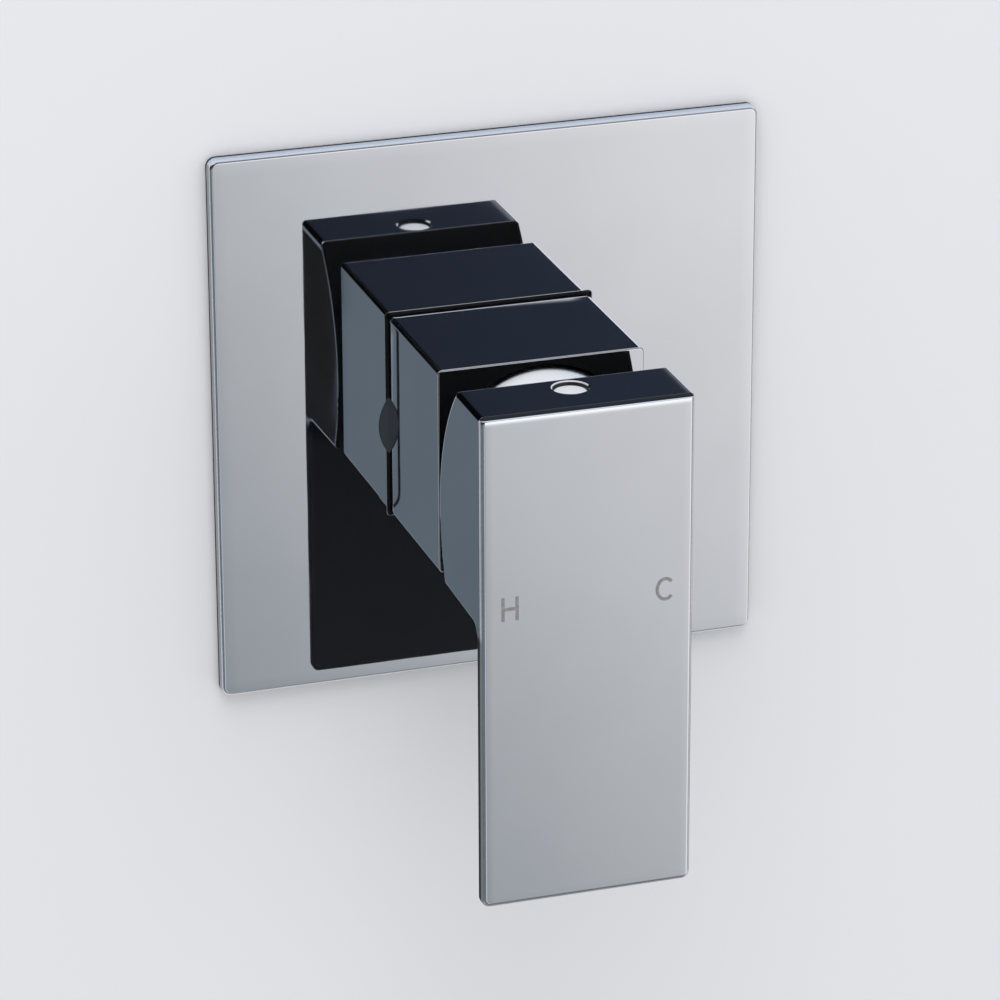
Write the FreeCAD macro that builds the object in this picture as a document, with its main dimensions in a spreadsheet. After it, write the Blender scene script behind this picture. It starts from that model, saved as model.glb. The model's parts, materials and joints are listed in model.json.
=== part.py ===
import FreeCAD, Part
import math
import os
import types

import Sketcher

# A single-lever wall mixer tap: cover plate, square sleeve, lever handle, ceramic cartridge, brass body.
# The frame: x to the right, y into the wall, z up. The origin is the middle of the plate's back face,
# which lies on the wall. "Reach" and "out" are distances from the wall towards the user, along -y;
# "depth" is a distance behind the wall, along +y.

DOC = FreeCAD.newDocument("wall_mixer_tap")

# Driving sizes in millimetres: name, value, what it measures
SIZES = [
    ("plate_side", 120.0, "side of the square cover plate"),
    ("plate_thick", 3.0, "height of the plate's front above the wall"),
    ("plate_sheet", 1.6, "thickness of the plate's front sheet"),
    ("plate_rim", 2.0, "width of the plate's turned-back rim"),
    ("plate_corner", 2.0, "radius of the plate's corners"),
    ("plate_edge", 0.8, "rounding of the plate's outer front edges"),
    ("opening_corner", 0.8, "corner radius of the plate's square opening"),
    ("opening_edge", 0.15, "rounding of the opening's front edges"),
    ("notch_reach", 1.7, "reach of the prising notch past the opening's left edge"),
    ("notch_half", 5.6, "half the prising notch's length"),
    ("notch_drop", 2.4, "drop of the prising notch below the tap's axis"),
    ("gasket_width", 8.0, "width of the foam gasket behind the plate"),
    ("seal_wall", 0.6, "rubber between the sleeve and the plate's opening"),
    ("seal_lip", 2.5, "width of the seal's lip behind the plate's sheet"),
    ("seal_sunk", 1.2, "depth of the seal's face below the plate's front"),
    ("tab_sunk", 0.15, "depth of the seal's tab in the prising notch below the plate's front"),
    ("sleeve_side", 44.5, "side of the square sleeve"),
    ("sleeve_reach", 38.0, "reach of the sleeve's front face"),
    ("sleeve_tail", 2.0, "depth of the sleeve's back end"),
    ("sleeve_bore", 21.0, "radius of the sleeve's bore"),
    ("sleeve_corner", 1.0, "rounding of the sleeve's long edges"),
    ("sleeve_edge", 0.35, "rounding of the sleeve's front edge"),
    ("neck_r", 20.5, "outside radius of the brass neck"),
    ("ring_groove_r", 19.2, "radius of the o-ring grooves' floor"),
    ("ring_groove_width", 2.4, "width of an o-ring groove"),
    ("ring_back", 10.0, "reach of the back o-ring"),
    ("ring_front", 20.0, "reach of the front o-ring"),
    ("ring_gap", 0.05, "clearance of an o-ring to its groove and to the sleeve"),
    ("ring_width", 2.0, "width of a squeezed o-ring"),
    ("ring_bevel", 0.5, "bevel of a squeezed o-ring's edges"),
    ("floor_depth", 2.0, "depth of the floor that the cartridge stands on"),
    ("shoulder_depth", 6.0, "depth of the body's front face"),
    ("neck_seat", 3.0, "depth of the neck's seat in the body's front face"),
    ("body_r", 24.0, "radius of the brass body"),
    ("back_depth", 38.0, "depth of the body's back face"),
    ("port_depth", 24.0, "depth of the pipe connections' axes"),
    ("port_reach", 46.0, "distance from the tap's axis to a connection's mouth"),
    ("port_boss_r", 13.5, "outside radius of a connection"),
    ("port_thread_r", 9.3, "radius of a connection's thread, a half-inch pipe thread's minor radius"),
    ("port_thread_len", 14.0, "length of a connection's thread"),
    ("port_bore_r", 6.0, "radius of the inlet bores"),
    ("port_bore_end", 6.0, "distance from the tap's axis to the inlet bores' ends"),
    ("outlet_bore_r", 4.5, "radius of the outlet bore"),
    ("passage_r", 3.0, "radius of the passages from the floor to the bores"),
    ("passage_depth", 21.0, "depth of the passages' ends"),
    ("lug_reach", 38.0, "distance from the tap's axis to a fixing hole"),
    ("lug_r", 7.0, "outside radius of a fixing lug"),
    ("lug_thick", 6.0, "thickness of a fixing lug"),
    ("lug_hole_r", 2.75, "radius of a fixing hole"),
    ("stopper_flange_r", 13.0, "radius of the outlet stopper's flange"),
    ("stopper_flange", 3.0, "thickness of the outlet stopper's flange"),
    ("stopper_len", 10.0, "length of the outlet stopper's thread"),
    ("stopper_key_r", 5.8, "corner radius of the outlet stopper's hexagon key hole"),
    ("stopper_key_len", 7.0, "depth of the outlet stopper's hexagon key hole"),
    ("stopper_seal", 1.2, "thickness of the outlet stopper's seal"),
    ("stopper_seal_inset", 0.8, "inset of that seal from the flange's rim"),
    ("thread_gap", 0.1, "clearance of a thread's outside in its hole"),
    ("cartridge_r", 17.5, "radius of the cartridge"),
    ("cartridge_gap", 0.15, "clearance of the cartridge in the brass neck"),
    ("base_thick", 7.0, "thickness of the cartridge's base"),
    ("port_circle", 8.2, "radius of the circle that the cartridge's ports lie on"),
    ("port_r", 2.6, "radius of a cartridge port"),
    ("ring_seal_r", 4.4, "outside radius of a port seal"),
    ("ring_seal_wall", 1.4, "wall of a port seal"),
    ("ring_seal_len", 1.5, "height of a port seal"),
    ("disc_r", 15.4, "radius of the fixed ceramic disc"),
    ("disc_thick", 4.0, "thickness of a ceramic disc"),
    ("disc_film", 0.05, "film of grease between the discs"),
    ("moving_r", 10.4, "radius of the moving ceramic disc"),
    ("chamber_r", 6.0, "radius of the mixing chamber in the moving disc"),
    ("chamber_depth", 1.8, "depth of the mixing chamber"),
    ("driver_thick", 6.5, "thickness of the disc driver"),
    ("key_side", 6.8, "side of the driver's square key in the moving disc"),
    ("key_len", 1.0, "height of the driver's key"),
    ("fit_gap", 0.05, "clearance of a close fit"),
    ("ball_r", 3.0, "radius of the stem's ball"),
    ("ball_gap", 0.25, "clearance of the ball in the driver"),
    ("ball_rise", 4.45, "height of the ball's centre above the moving disc"),
    ("carrier_gap", 0.4, "gap between the driver and the stem carrier"),
    ("carrier_flange", 2.1, "thickness of the carrier's flange"),
    ("carrier_flange_r", 15.5, "radius of the carrier's flange"),
    ("carrier_r", 13.8, "radius of the stem carrier"),
    ("carrier_nose", 5.0, "height of the carrier's front above the lever's pin"),
    ("turn_gap", 0.2, "clearance of the carrier in the housing"),
    ("housing_wall", 1.0, "wall of the housing's front part"),
    ("roof_thick", 1.75, "thickness of the housing's shoulder"),
    ("pin_rise", 11.05, "height of the lever's pin above the carrier's back"),
    ("pin_r", 2.0, "radius of the lever's pin"),
    ("pin_gap", 0.05, "running clearance round the lever's pin"),
    ("pin_sunk", 0.4, "depth of the pin's ends below the carrier's side"),
    ("hub_r", 5.0, "radius of the stem's hub"),
    ("hub_width", 9.0, "width of the stem's hub"),
    ("slot_gap", 0.3, "clearance of the stem's hub in the carrier's slot"),
    ("slot_up", 8.0, "length of the carrier's slot above the axis"),
    ("slot_down", 9.0, "length of the carrier's slot below the axis"),
    ("rod_r", 2.2, "radius of the stem's rod"),
    ("stem_side", 8.0, "side of the stem's square shank"),
    ("stem_past", 6.0, "length of the stem past the grub screw's axis"),
    ("nut_thread", 6.0, "length of the retaining nut's thread"),
    ("nut_collar", 3.4, "height of the retaining nut's hexagon"),
    ("nut_stand", 0.2, "gap between the nut's hexagon and the neck"),
    ("thread_step", 1.0, "height of the neck's thread step above the cartridge bore"),
    ("thread_relief", 0.4, "run-out of the neck's thread behind the nut"),
    ("skirt_r", 20.2, "radius of the dome cover's skirt"),
    ("dome_wall", 0.9, "wall of the dome cover"),
    ("dome_hole", 14.0, "radius of the dome cover's stem hole"),
    ("handle_side", 45.4, "side of the handle's square block"),
    ("handle_depth", 28.2, "depth of the handle from its back's crown to its front face"),
    ("handle_gap", 1.5, "least gap between the handle's back and the sleeve"),
    ("lever_drop", 85.4, "drop of the lever's tip below the axis"),
    ("lever_thick", 3.4, "thickness of the lever"),
    ("lever_blend", 2.8, "radius between the lever and the block's underside"),
    ("lever_corner", 1.8, "corner radius of the lever's tip"),
    ("back_r", 41.0, "radius of the block's rounded back"),
    ("back_drop", 6.3, "drop of the rounded back's crown below the axis"),
    ("underside_fall", 0.7, "fall of the block's underside towards the lever"),
    ("handle_edge", 1.0, "rounding of the handle's edges"),
    ("cavity_gap", 0.7, "gap between the dome cover and the handle's hollow"),
    ("socket_spare", 0.3, "spare depth of the handle's socket past the stem"),
    ("grub_inset", 4.8, "distance of the grub screw's axis from the block's top back edge"),
    ("grub_r", 2.45, "radius of the grub screw"),
    ("grub_len", 10.0, "length of the grub screw"),
    ("grub_key_r", 1.44, "corner radius of the grub screw's hexagon key hole"),
    ("grub_key_len", 3.0, "depth of the grub screw's hexagon key hole"),
    ("mouth_r", 3.6, "radius of the hole over the grub screw"),
    ("mouth_bevel", 0.35, "bevel of that hole's rim"),
    ("plug_sunk", 0.9, "depth of the hole plug's face below the handle's top"),
    ("plug_thick", 2.4, "thickness of the hole plug"),
    ("plug_bevel", 0.2, "bevel of the hole plug's rim"),
]


class Size:
    """A length with the sheet expression that drives it."""

    def __init__(self, value, text):
        self.value = value
        self.text = text

    def __add__(self, other):
        return joined(self, "+", other, self.value + number(other))

    def __radd__(self, other):
        return joined(other, "+", self, number(other) + self.value)

    def __sub__(self, other):
        return joined(self, "-", other, self.value - number(other))

    def __rsub__(self, other):
        return joined(other, "-", self, number(other) - self.value)

    def __mul__(self, other):
        return joined(self, "*", other, self.value * number(other))

    __rmul__ = __mul__

    def __truediv__(self, other):
        return joined(self, "/", other, self.value / number(other))

    def __neg__(self):
        return Size(-self.value, f"(-{self.text})")


def number(size):
    return size.value if isinstance(size, Size) else float(size)


def text(size):
    return size.text if isinstance(size, Size) else f"({float(size)!r})"


def joined(left, sign, right, value):
    return Size(value, f"({text(left)} {sign} {text(right)})")


def root(size):
    return Size(math.sqrt(size.value), f"sqrt({size.text})")


def make_sheet():
    """Put the driving sizes in a sheet and give them back as named sizes."""
    sheet = DOC.addObject("Spreadsheet::Sheet", "Sizes")
    for row, (alias, value, note) in enumerate(SIZES, 1):
        sheet.set(f"A{row}", note)
        sheet.set(f"B{row}", str(value))
        sheet.setAlias(f"B{row}", alias)
    DOC.recompute()
    return types.SimpleNamespace(**{alias: Size(value, f"Sizes.{alias}") for alias, value, _ in SIZES})


S = make_sheet()

# The stack of the cartridge, from its floor outwards, as reaches from the wall
BASE_TOP = S.base_thick - S.floor_depth
MOVING_BACK = BASE_TOP + S.disc_thick + S.disc_film
MOVING_TOP = MOVING_BACK + S.disc_thick
DRIVER_TOP = MOVING_TOP + S.driver_thick
CARRIER_BACK = DRIVER_TOP + S.carrier_gap
ROOF = CARRIER_BACK + S.carrier_flange + S.turn_gap
NUT_BACK = ROOF + S.roof_thick
NECK_END = NUT_BACK + S.nut_thread
PIVOT = CARRIER_BACK + S.pin_rise
CARRIER_FRONT = PIVOT + S.carrier_nose
BALL = MOVING_TOP + S.ball_rise
NECK_BACK = S.shoulder_depth + S.neck_seat

# Radii and half sides that several pieces share
SLEEVE_HALF = S.sleeve_side / 2
OPENING_HALF = SLEEVE_HALF + S.seal_wall
NOTCH_R = (S.notch_half * S.notch_half + S.notch_reach * S.notch_reach) / (S.notch_reach * 2)
NOTCH_X = NOTCH_R - S.notch_reach - OPENING_HALF
RECESS_HALF = S.plate_side / 2 - S.plate_rim
RECESS_DEPTH = S.plate_thick - S.plate_sheet
CARTRIDGE_BORE = S.cartridge_r + S.cartridge_gap
NECK_THREAD = CARTRIDGE_BORE + S.thread_step
HOUSING_FRONT_BORE = S.carrier_r + S.turn_gap
HOUSING_FRONT_R = HOUSING_FRONT_BORE + S.housing_wall
HOUSING_BORE = S.carrier_flange_r + S.turn_gap
SKIRT_BORE = S.skirt_r - S.dome_wall
SKIRT_FACE = S.sleeve_reach - PIVOT
DOME_R = root(S.skirt_r * S.skirt_r + SKIRT_FACE * SKIRT_FACE)
PORTS = [math.radians(angle) for angle in (150, 30, 270)]

# The handle's reaches, from its rounded back to the stem's tip
HANDLE_HALF = S.handle_side / 2
HANDLE_BACK = S.sleeve_reach + S.handle_gap
HANDLE_FRONT = HANDLE_BACK + S.handle_depth
BACK_CENTRE = HANDLE_BACK + S.back_r
BACK_RISE = HANDLE_HALF + S.back_drop
TOP_BACK = BACK_CENTRE - root(S.back_r * S.back_r - BACK_RISE * BACK_RISE)
GRUB_OUT = TOP_BACK + S.grub_inset
STEM_TIP = GRUB_OUT + S.stem_past

TURN = {
    "out": FreeCAD.Rotation(FreeCAD.Vector(1, 0, 0), 90),
    "right": FreeCAD.Rotation(FreeCAD.Vector(0, 1, 0), 90),
    "up": FreeCAD.Rotation(),
    "down": FreeCAD.Rotation(FreeCAD.Vector(1, 0, 0), 180),
}


def bind(thing, prop, size):
    thing.setExpression(prop, text(size))


def place(thing, x=0.0, out=0.0, z=0.0):
    """Hold the object's base point at x, at a reach from the wall, and at z."""
    bind(thing, "Placement.Base.x", x)
    bind(thing, "Placement.Base.y", -out)
    bind(thing, "Placement.Base.z", z)


def port_at(angle, radius):
    return radius * math.cos(angle), radius * math.sin(angle)


# Primitives and booleans


def cylinder(name, radius, length, x=0.0, out=0.0, z=0.0, along="out"):
    rod = DOC.addObject("Part::Cylinder", name)
    bind(rod, "Radius", radius)
    bind(rod, "Height", length)
    rod.Placement.Rotation = TURN[along]
    place(rod, x, out, z)
    return rod


def hexagon(name, corner_r, length, x=0.0, out=0.0, z=0.0, along="out"):
    prism = DOC.addObject("Part::Prism", name)
    prism.Polygon = 6
    bind(prism, "Circumradius", corner_r)
    bind(prism, "Height", length)
    prism.Placement.Rotation = TURN[along]
    place(prism, x, out, z)
    return prism


def bar(name, width, height, back, front, z_low):
    """A bar centred on x, from reach back to reach front, standing on z_low."""
    box = DOC.addObject("Part::Box", name)
    bind(box, "Length", width)
    bind(box, "Width", front - back)
    bind(box, "Height", height)
    place(box, -width / 2, front, z_low)
    return box


def sphere(name, radius, out):
    ball = DOC.addObject("Part::Sphere", name)
    bind(ball, "Radius", radius)
    place(ball, 0.0, out)
    return ball


def fuse(name, pieces):
    whole = DOC.addObject("Part::MultiFuse", name)
    whole.Shapes = pieces
    return whole


def cut(name, base, tools):
    tool = tools[0] if len(tools) == 1 else fuse(name + "_tools", tools)
    result = DOC.addObject("Part::Cut", name)
    result.Base = base
    result.Tool = tool
    return result


def group(name, pieces):
    """Several like solids in one sub-part."""
    together = DOC.addObject("Part::Compound", name)
    together.Links = pieces
    return together


# Bodies with sketches


def new_body(name, seat=0.0):
    body = DOC.addObject("PartDesign::Body", name)
    place(body, 0.0, seat)
    return body


def sketch_on(body, name, role):
    sketch = body.newObject("Sketcher::SketchObject", name)
    plane = next(part for part in body.Origin.OriginFeatures if part.Role == role)
    sketch.AttachmentSupport = [(plane, "")]
    sketch.MapMode = "FlatFace"
    return sketch


def hold(sketch, constraint, size):
    row = sketch.addConstraint(constraint)
    bind(sketch, f"Constraints[{row}]", size)


def pin_point(sketch, geometry, point, x, y):
    """Hold a sketch point at the sizes x and y; a plain number is only where the point starts."""
    for kind, size in (("DistanceX", x), ("DistanceY", y)):
        if isinstance(size, Size):
            hold(sketch, Sketcher.Constraint(kind, -1, 1, geometry, point, size.value), size)


def arc_edge(first, last, centre, radius):
    start = math.atan2(first.y - centre.y, first.x - centre.x)
    end = math.atan2(last.y - centre.y, last.x - centre.x)
    if end < start:
        end += 2 * math.pi
    return Part.ArcOfCircle(Part.Circle(centre, FreeCAD.Vector(0, 0, 1), radius), start, end)


def outline(sketch, corners, arcs=None):
    """A closed outline. arcs gives a side's centre, radius and whether it runs anticlockwise."""
    arcs = arcs or {}
    points = [FreeCAD.Vector(number(x), number(y), 0) for x, y in corners]
    ends = []
    for side, start in enumerate(points):
        end = points[(side + 1) % len(points)]
        if side in arcs:
            x, y, radius, anticlockwise = arcs[side]
            first, last = (start, end) if anticlockwise else (end, start)
            centre = FreeCAD.Vector(number(x), number(y), 0)
            edge = sketch.addGeometry(arc_edge(first, last, centre, radius.value), False)
            pin_point(sketch, edge, 3, x, y)
            hold(sketch, Sketcher.Constraint("Radius", edge, radius.value), radius)
            ends.append((edge, 1, 2) if anticlockwise else (edge, 2, 1))
        else:
            edge = sketch.addGeometry(Part.LineSegment(start, end), False)
            ends.append((edge, 1, 2))
    for side, (edge, _, tail) in enumerate(ends):
        following, head, _ = ends[(side + 1) % len(ends)]
        sketch.addConstraint(Sketcher.Constraint("Coincident", edge, tail, following, head))
    for (edge, head, _), (x, y) in zip(ends, corners):
        pin_point(sketch, edge, head, x, y)


def square_sketch(body, name, half):
    sketch = sketch_on(body, name, "XZ_Plane")
    outline(sketch, [(-half, -half), (half, -half), (half, half), (-half, half)])
    return sketch


def circle_sketch(body, name, radius, x, z):
    sketch = sketch_on(body, name, "XZ_Plane")
    disc = Part.Circle(FreeCAD.Vector(number(x), number(z), 0), FreeCAD.Vector(0, 0, 1), radius.value)
    edge = sketch.addGeometry(disc, False)
    pin_point(sketch, edge, 3, x, z)
    hold(sketch, Sketcher.Constraint("Radius", edge, radius.value), radius)
    return sketch


def pad(body, name, sketch, length):
    """A pad from the sketch towards the user."""
    feature = body.newObject("PartDesign::Pad", name)
    feature.Profile = sketch
    bind(feature, "Length", length)
    return feature


def pocket(body, name, sketch, depth=None):
    """A pocket from the sketch towards the user, right through when it has no depth."""
    feature = body.newObject("PartDesign::Pocket", name)
    feature.Profile = sketch
    feature.Reversed = True
    if depth is None:
        feature.Type = "ThroughAll"
    else:
        bind(feature, "Length", depth)
    return feature


def turned(name, corners, seat, arcs=None):
    """A piece turned about the tap's axis; corners are radius and height above its seat."""
    body = new_body(name, seat)
    sketch = sketch_on(body, name + "_profile", "XY_Plane")
    outline(sketch, [(radius, -height) for radius, height in corners], arcs)
    turn = body.newObject("PartDesign::Revolution", name + "_turn")
    turn.Profile = sketch
    turn.ReferenceAxis = (sketch, ["V_Axis"])
    turn.Angle = 360.0
    return body


def round_edges(body, name, radius, chosen):
    """Round the edges of the body so far that chosen picks."""
    DOC.recompute()
    base = body.Tip
    edges = [f"Edge{row}" for row, edge in enumerate(base.Shape.Edges, 1) if chosen(edge)]
    fillet = body.newObject("PartDesign::Fillet", name)
    fillet.Base = (base, edges)
    bind(fillet, "Radius", radius)
    return fillet


def near(value, size):
    return abs(value - number(size)) < 1e-4


def runs_out(edge):
    """The edge is straight and square to the wall."""
    box = edge.BoundBox
    return box.XLength < 1e-4 and box.ZLength < 1e-4


def lies_at(edge, reach):
    """The whole edge lies at one reach, in its body's own frame."""
    box = edge.BoundBox
    return near(box.YMin, -reach) and near(box.YMax, -reach)


# The cover plate and its seals


def wall_plate():
    """A pressed square plate with a turned-back rim, and a square opening with a notch to prise it off."""
    body = new_body("wall_plate")
    pad(body, "plate_pad", square_sketch(body, "plate_outline", S.plate_side / 2), S.plate_thick)
    round_edges(body, "plate_corners", S.plate_corner, runs_out)
    round_edges(body, "plate_edges", S.plate_edge, lambda edge: lies_at(edge, S.plate_thick))
    pocket(body, "plate_opening", square_sketch(body, "opening_outline", OPENING_HALF))

    def opening_corner(edge):
        return runs_out(edge) and near(abs(edge.CenterOfMass.x), OPENING_HALF)

    round_edges(body, "opening_corners", S.opening_corner, opening_corner)

    def opening_rim(edge):
        point = edge.CenterOfMass
        inside = max(abs(point.x), abs(point.z)) < number(OPENING_HALF) + 1e-3
        return inside and lies_at(edge, S.plate_thick)

    round_edges(body, "opening_edges", S.opening_edge, opening_rim)
    pocket(body, "plate_hollow", square_sketch(body, "hollow_outline", RECESS_HALF), RECESS_DEPTH)
    pocket(body, "prising_notch", circle_sketch(body, "notch_outline", NOTCH_R, NOTCH_X, -S.notch_drop))
    return body


def plate_gasket():
    """A foam frame in the plate's hollow, flush with the rim."""
    body = new_body("plate_gasket")
    outer = RECESS_HALF - S.fit_gap
    pad(body, "gasket_pad", square_sketch(body, "gasket_outer", outer), RECESS_DEPTH)
    pocket(body, "gasket_opening", square_sketch(body, "gasket_inner", outer - S.gasket_width))
    return body


def plate_seal():
    """A square rubber ring between sleeve and plate, with a lip behind the sheet and a tab in the notch."""
    body = new_body("plate_seal")
    pad(body, "lip_pad", square_sketch(body, "lip_outline", OPENING_HALF + S.seal_lip), RECESS_DEPTH)
    collar = OPENING_HALF - S.fit_gap
    pad(body, "collar_pad", square_sketch(body, "collar_outline", collar), S.plate_thick - S.seal_sunk)

    def collar_corner(edge):
        return runs_out(edge) and near(abs(edge.CenterOfMass.x), collar)

    round_edges(body, "collar_corners", S.opening_corner, collar_corner)
    tab = circle_sketch(body, "tab_outline", NOTCH_R - S.fit_gap, NOTCH_X, -S.notch_drop)
    pad(body, "tab_pad", tab, S.plate_thick - S.tab_sunk)
    pocket(body, "sleeve_opening", square_sketch(body, "sleeve_passage", SLEEVE_HALF))

    def passage_corner(edge):
        return runs_out(edge) and near(abs(edge.CenterOfMass.z), SLEEVE_HALF)

    round_edges(body, "passage_corners", S.sleeve_corner, passage_corner)
    return body


# The sleeve


def sleeve():
    """The square sleeve with a round bore, held on the neck by two o-rings."""
    body = new_body("sleeve", -S.sleeve_tail)
    length = S.sleeve_reach + S.sleeve_tail
    pad(body, "sleeve_pad", square_sketch(body, "sleeve_outline", SLEEVE_HALF), length)
    round_edges(body, "sleeve_corners", S.sleeve_corner, runs_out)
    round_edges(body, "sleeve_edges", S.sleeve_edge, lambda edge: lies_at(edge, length))
    pocket(body, "sleeve_hollow", circle_sketch(body, "bore_outline", S.sleeve_bore, 0 * length, 0 * length))
    return body


def sleeve_o_rings():
    """Two o-rings between neck and sleeve, squeezed flat on both."""
    inner = S.ring_groove_r + S.ring_gap
    outer = S.sleeve_bore - S.ring_gap
    none = 0 * S.ring_width
    far = S.ring_width - S.ring_bevel
    corners = [
        (inner, S.ring_bevel), (inner + S.ring_bevel, none), (outer - S.ring_bevel, none),
        (outer, S.ring_bevel), (outer, far), (outer - S.ring_bevel, S.ring_width),
        (inner + S.ring_bevel, S.ring_width), (inner, far),
    ]
    rings = [
        turned("back_o_ring", corners, S.ring_back - S.ring_width / 2),
        turned("front_o_ring", corners, S.ring_front - S.ring_width / 2),
    ]
    return group("sleeve_o_rings", rings)


# The concealed brass body


def o_ring_groove(name, reach):
    blank = cylinder(name + "_blank", S.neck_r + S.neck_r, S.ring_groove_width,
                     out=reach - S.ring_groove_width / 2)
    core = cylinder(name + "_core", S.ring_groove_r, S.ring_groove_width,
                    out=reach - S.ring_groove_width / 2)
    return cut(name, blank, [core])


def fixing_lugs():
    """Two lugs on a diagonal, level with the body's back face, and the holes through them."""
    solids = []
    holes = []
    step = S.lug_reach * math.sqrt(0.5)
    for name, side in (("upper", 1), ("lower", -1)):
        x = step * side
        solids.append(cylinder(f"{name}_lug", S.lug_r, S.lug_thick, x, -S.back_depth, x))
        web = DOC.addObject("Part::Box", f"{name}_lug_web")
        bind(web, "Length", S.lug_reach)
        bind(web, "Width", S.lug_thick)
        bind(web, "Height", S.lug_r * 2)
        web.Placement.Rotation = FreeCAD.Rotation(FreeCAD.Vector(0, 1, 0), -45 if side > 0 else 135)
        half = S.lug_r * math.sqrt(0.5) * side
        place(web, half, S.lug_thick - S.back_depth, -half)
        solids.append(web)
        holes.append(cylinder(f"{name}_lug_hole", S.lug_hole_r, S.lug_thick, x, -S.back_depth, x))
    return solids, holes


def connections():
    """The four pipe connections' bosses, and their threads and bores."""
    depth = -S.port_depth
    span = S.port_reach * 2
    bosses = [
        cylinder("inlet_bosses", S.port_boss_r, span, -S.port_reach, depth, 0.0, "right"),
        cylinder("outlet_bosses", S.port_boss_r, span, 0.0, depth, -S.port_reach, "up"),
    ]
    inner = S.port_reach - S.port_thread_len
    bore = S.port_reach - S.port_bore_end
    threads = [
        ("hot_thread", -S.port_reach, 0.0, "right"),
        ("cold_thread", inner, 0.0, "right"),
        ("lower_thread", 0.0, -S.port_reach, "up"),
        ("shower_thread", 0.0, inner, "up"),
    ]
    holes = [cylinder(name, S.port_thread_r, S.port_thread_len, x, depth, z, along) for name, x, z, along in threads]
    holes.append(cylinder("hot_bore", S.port_bore_r, bore, -S.port_reach, depth, 0.0, "right"))
    holes.append(cylinder("cold_bore", S.port_bore_r, bore, S.port_bore_end, depth, 0.0, "right"))
    holes.append(cylinder("outlet_bore", S.outlet_bore_r, span, 0.0, depth, -S.port_reach, "up"))
    return bosses, holes


def passages(name, deep, shallow):
    """The three water passages between two depths."""
    bores = []
    for row, angle in enumerate(PORTS, 1):
        x, z = port_at(angle, S.port_circle)
        bores.append(cylinder(f"{name}_{row}", S.passage_r, deep - shallow, x, -deep, z))
    return bores


def mixer_body():
    """The brass casting: a trunk with four connections, passages, fixing lugs and the neck's seat."""
    lugs, lug_holes = fixing_lugs()
    bosses, bores = connections()
    trunk = cylinder("trunk", S.body_r, S.back_depth - S.shoulder_depth, out=-S.back_depth)
    casting = fuse("casting", [trunk] + bosses + lugs)
    seat = cylinder("neck_socket", S.neck_r + S.fit_gap, S.neck_seat, out=-NECK_BACK)
    tools = [seat] + passages("body_passage", S.passage_depth, NECK_BACK)
    return cut("mixer_body", casting, tools + bores + lug_holes)


def cartridge_neck():
    """The brass neck that stands out of the body: the cartridge's seat, the nut's thread, o-ring grooves."""
    blank = cylinder("neck_blank", S.neck_r, NECK_END + NECK_BACK, out=-NECK_BACK)
    thread_back = NUT_BACK - S.thread_relief
    tools = [
        cylinder("cartridge_bore", CARTRIDGE_BORE, NECK_END + S.floor_depth, out=-S.floor_depth),
        cylinder("nut_bore", NECK_THREAD, NECK_END - thread_back, out=thread_back),
        o_ring_groove("back_groove", S.ring_back),
        o_ring_groove("front_groove", S.ring_front),
    ]
    return cut("cartridge_neck", blank, tools + passages("neck_passage", NECK_BACK, S.floor_depth))


def outlet_stopper():
    """A hexagon-key stopper that closes the lower outlet."""
    seat = -(S.port_reach + S.stopper_seal)
    flange = cylinder("stopper_head", S.stopper_flange_r, S.stopper_flange,
                      0.0, -S.port_depth, seat - S.stopper_flange, "up")
    thread = cylinder("stopper_thread", S.port_thread_r - S.thread_gap, S.stopper_len + S.stopper_seal,
                      0.0, -S.port_depth, seat, "up")
    key = hexagon("stopper_key", S.stopper_key_r, S.stopper_key_len,
                  0.0, -S.port_depth, seat - S.stopper_flange, "up")
    return cut("outlet_stopper", fuse("stopper_blank", [flange, thread]), [key])


def outlet_stopper_seal():
    face = -(S.port_reach + S.stopper_seal)
    outer = cylinder("stopper_seal_disc", S.stopper_flange_r - S.stopper_seal_inset, S.stopper_seal,
                     0.0, -S.port_depth, face, "up")
    hole = cylinder("stopper_seal_hole", S.port_thread_r, S.stopper_seal, 0.0, -S.port_depth, face, "up")
    return cut("outlet_stopper_seal", outer, [hole])


# The ceramic cartridge


def port_seals(name, seat):
    rings = []
    for row, angle in enumerate(PORTS, 1):
        x, z = port_at(angle, S.port_circle)
        outer = cylinder(f"{name}_{row}_outer", S.ring_seal_r, S.ring_seal_len, x, seat, z)
        hole = cylinder(f"{name}_{row}_hole", S.ring_seal_r - S.ring_seal_wall, S.ring_seal_len, x, seat, z)
        rings.append(cut(f"{name}_{row}", outer, [hole]))
    return group(name, rings)


def cartridge_base():
    """The plastic base: three ports, with a seal's recess at both ends of each."""
    back = -S.floor_depth
    blank = cylinder("base_blank", S.cartridge_r - S.fit_gap * 2, S.base_thick, out=back)
    tools = []
    for row, angle in enumerate(PORTS, 1):
        x, z = port_at(angle, S.port_circle)
        tools.append(cylinder(f"base_port_{row}", S.port_r, S.base_thick, x, back, z))
        recess = S.ring_seal_r + S.fit_gap
        tools.append(cylinder(f"base_recess_{row}", recess, S.ring_seal_len, x, back, z))
        tools.append(cylinder(f"disc_recess_{row}", recess, S.ring_seal_len, x, BASE_TOP - S.ring_seal_len, z))
    return cut("cartridge_base", blank, tools)


def fixed_disc():
    blank = cylinder("fixed_disc_blank", S.disc_r, S.disc_thick, out=BASE_TOP)
    tools = []
    for row, angle in enumerate(PORTS, 1):
        x, z = port_at(angle, S.port_circle)
        tools.append(cylinder(f"fixed_disc_port_{row}", S.port_r, S.disc_thick, x, BASE_TOP, z))
    return cut("fixed_disc", blank, tools)


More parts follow.
